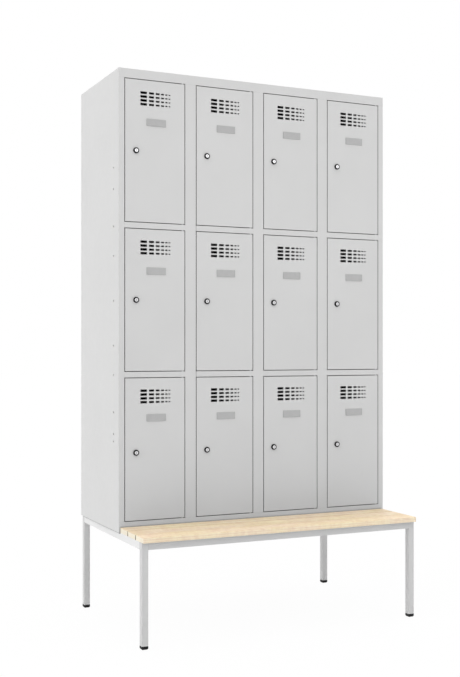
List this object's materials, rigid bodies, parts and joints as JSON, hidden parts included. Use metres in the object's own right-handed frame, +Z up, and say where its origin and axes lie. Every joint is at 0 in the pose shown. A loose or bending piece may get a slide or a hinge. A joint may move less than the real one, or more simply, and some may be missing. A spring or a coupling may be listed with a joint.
{
  "type": "metal locker with bench",
  "caption": "Sheet-steel locker with small vented, hinged and key-locked doors, standing on a steel-tube bench frame whose front carries a slatted wooden seat.",
  "frame": {"origin": "on the floor under the middle of the object's bounding box", "axes": "+Z up, -Y towards the doors and the seat, +X to the right seen from the front"},
  "size_m": [1.2, 0.762, 2.194],
  "materials": {
    "powder_coat": "satin light grey powder coat",
    "door_coat": "satin light grey powder coat",
    "bench_paint": "satin grey powder coat",
    "slat_wood": "clear satin varnish on pale softwood",
    "black_plastic": "moulded matte",
    "lock_black": "black collar, grey card holder",
    "lock_chrome": "bright chrome",
    "zinc_steel": "bright zinc plating"
  },
  "bodies": {
    "carcass": {"left_side_panel": "powder_coat", "right_side_panel": "powder_coat", "partition_panels": "powder_coat", "back_panel": "powder_coat", "roof_panel": "powder_coat", "floor_panel": "powder_coat", "shelves": "powder_coat", "left_jamb": "powder_coat", "right_jamb": "powder_coat", "mullions": "powder_coat", "top_rail": "powder_coat", "bottom_rail": "powder_coat", "cross_rails": "powder_coat", "hinge_pins": "zinc_steel", "bench_legs": "bench_paint", "leg_feet": "black_plastic", "bench_long_rails": "bench_paint", "bench_side_rails": "bench_paint", "bench_cross_bar": "bench_paint", "slat_screws": "zinc_steel", "cabinet_bolts": "zinc_steel", "rear_slat": "slat_wood", "middle_slat": "slat_wood", "front_slat": "slat_wood"},
    "door_body_01": {"door_01": "door_coat", "door_fittings_01": "lock_black"},
    "lock_body_01": {"lock_cylinder_01": "lock_chrome"},
    "door_body_02": {"door_02": "door_coat", "door_fittings_02": "lock_black"},
    "lock_body_02": {"lock_cylinder_02": "lock_chrome"},
    "door_body_03": {"door_03": "door_coat", "door_fittings_03": "lock_black"},
    "lock_body_03": {"lock_cylinder_03": "lock_chrome"},
    "door_body_04": {"door_04": "door_coat", "door_fittings_04": "lock_black"},
    "lock_body_04": {"lock_cylinder_04": "lock_chrome"},
    "door_body_05": {"door_05": "door_coat", "door_fittings_05": "lock_black"},
    "lock_body_05": {"lock_cylinder_05": "lock_chrome"},
    "door_body_06": {"door_06": "door_coat", "door_fittings_06": "lock_black"},
    "lock_body_06": {"lock_cylinder_06": "lock_chrome"},
    "door_body_07": {"door_07": "door_coat", "door_fittings_07": "lock_black"},
    "lock_body_07": {"lock_cylinder_07": "lock_chrome"},
    "door_body_08": {"door_08": "door_coat", "door_fittings_08": "lock_black"},
    "lock_body_08": {"lock_cylinder_08": "lock_chrome"},
    "door_body_09": {"door_09": "door_coat", "door_fittings_09": "lock_black"},
    "lock_body_09": {"lock_cylinder_09": "lock_chrome"},
    "door_body_10": {"door_10": "door_coat", "door_fittings_10": "lock_black"},
    "lock_body_10": {"lock_cylinder_10": "lock_chrome"},
    "door_body_11": {"door_11": "door_coat", "door_fittings_11": "lock_black"},
    "lock_body_11": {"lock_cylinder_11": "lock_chrome"},
    "door_body_12": {"door_12": "door_coat", "door_fittings_12": "lock_black"},
    "lock_body_12": {"lock_cylinder_12": "lock_chrome"}
  },
  "joints": [
    {"name": "door_hinge_01", "type": "hinge", "parent": "carcass", "child": "door_body_01", "pos_m": [-0.334, -0.114, 1.878], "axis": [0, 0, 1], "range_deg": [0, 110]},
    {"name": "lock_turn_01", "type": "hinge", "parent": "door_body_01", "child": "lock_body_01", "pos_m": [-0.5295, -0.119, 1.878], "axis": [0, 1, 0], "range_deg": [0, 90]},
    {"name": "door_hinge_02", "type": "hinge", "parent": "carcass", "child": "door_body_02", "pos_m": [-0.034, -0.114, 1.878], "axis": [0, 0, 1], "range_deg": [0, 110]},
    {"name": "lock_turn_02", "type": "hinge", "parent": "door_body_02", "child": "lock_body_02", "pos_m": [-0.2295, -0.119, 1.878], "axis": [0, 1, 0], "range_deg": [0, 90]},
    {"name": "door_hinge_03", "type": "hinge", "parent": "carcass", "child": "door_body_03", "pos_m": [0.266, -0.114, 1.878], "axis": [0, 0, 1], "range_deg": [0, 110]},
    {"name": "lock_turn_03", "type": "hinge", "parent": "door_body_03", "child": "lock_body_03", "pos_m": [0.0705, -0.119, 1.878], "axis": [0, 1, 0], "range_deg": [0, 90]},
    {"name": "door_hinge_04", "type": "hinge", "parent": "carcass", "child": "door_body_04", "pos_m": [0.566, -0.114, 1.878], "axis": [0, 0, 1], "range_deg": [0, 110]},
    {"name": "lock_turn_04", "type": "hinge", "parent": "door_body_04", "child": "lock_body_04", "pos_m": [0.3705, -0.119, 1.878], "axis": [0, 1, 0], "range_deg": [0, 90]},
    {"name": "door_hinge_05", "type": "hinge", "parent": "carcass", "child": "door_body_05", "pos_m": [-0.334, -0.114, 1.296], "axis": [0, 0, 1], "range_deg": [0, 110]},
    {"name": "lock_turn_05", "type": "hinge", "parent": "door_body_05", "child": "lock_body_05", "pos_m": [-0.5295, -0.119, 1.296], "axis": [0, 1, 0], "range_deg": [0, 90]},
    {"name": "door_hinge_06", "type": "hinge", "parent": "carcass", "child": "door_body_06", "pos_m": [-0.034, -0.114, 1.296], "axis": [0, 0, 1], "range_deg": [0, 110]},
    {"name": "lock_turn_06", "type": "hinge", "parent": "door_body_06", "child": "lock_body_06", "pos_m": [-0.2295, -0.119, 1.296], "axis": [0, 1, 0], "range_deg": [0, 90]},
    {"name": "door_hinge_07", "type": "hinge", "parent": "carcass", "child": "door_body_07", "pos_m": [0.266, -0.114, 1.296], "axis": [0, 0, 1], "range_deg": [0, 110]},
    {"name": "lock_turn_07", "type": "hinge", "parent": "door_body_07", "child": "lock_body_07", "pos_m": [0.0705, -0.119, 1.296], "axis": [0, 1, 0], "range_deg": [0, 90]},
    {"name": "door_hinge_08", "type": "hinge", "parent": "carcass", "child": "door_body_08", "pos_m": [0.566, -0.114, 1.296], "axis": [0, 0, 1], "range_deg": [0, 110]},
    {"name": "lock_turn_08", "type": "hinge", "parent": "door_body_08", "child": "lock_body_08", "pos_m": [0.3705, -0.119, 1.296], "axis": [0, 1, 0], "range_deg": [0, 90]},
    {"name": "door_hinge_09", "type": "hinge", "parent": "carcass", "child": "door_body_09", "pos_m": [-0.334, -0.114, 0.714], "axis": [0, 0, 1], "range_deg": [0, 110]},
    {"name": "lock_turn_09", "type": "hinge", "parent": "door_body_09", "child": "lock_body_09", "pos_m": [-0.5295, -0.119, 0.701], "axis": [0, 1, 0], "range_deg": [0, 90]},
    {"name": "door_hinge_10", "type": "hinge", "parent": "carcass", "child": "door_body_10", "pos_m": [-0.034, -0.114, 0.714], "axis": [0, 0, 1], "range_deg": [0, 110]},
    {"name": "lock_turn_10", "type": "hinge", "parent": "door_body_10", "child": "lock_body_10", "pos_m": [-0.2295, -0.119, 0.701], "axis": [0, 1, 0], "range_deg": [0, 90]},
    {"name": "door_hinge_11", "type": "hinge", "parent": "carcass", "child": "door_body_11", "pos_m": [0.266, -0.114, 0.714], "axis": [0, 0, 1], "range_deg": [0, 110]},
    {"name": "lock_turn_11", "type": "hinge", "parent": "door_body_11", "child": "lock_body_11", "pos_m": [0.0705, -0.119, 0.701], "axis": [0, 1, 0], "range_deg": [0, 90]},
    {"name": "door_hinge_12", "type": "hinge", "parent": "carcass", "child": "door_body_12", "pos_m": [0.566, -0.114, 0.714], "axis": [0, 0, 1], "range_deg": [0, 110]},
    {"name": "lock_turn_12", "type": "hinge", "parent": "door_body_12", "child": "lock_body_12", "pos_m": [0.3705, -0.119, 0.701], "axis": [0, 1, 0], "range_deg": [0, 90]}
  ]
}
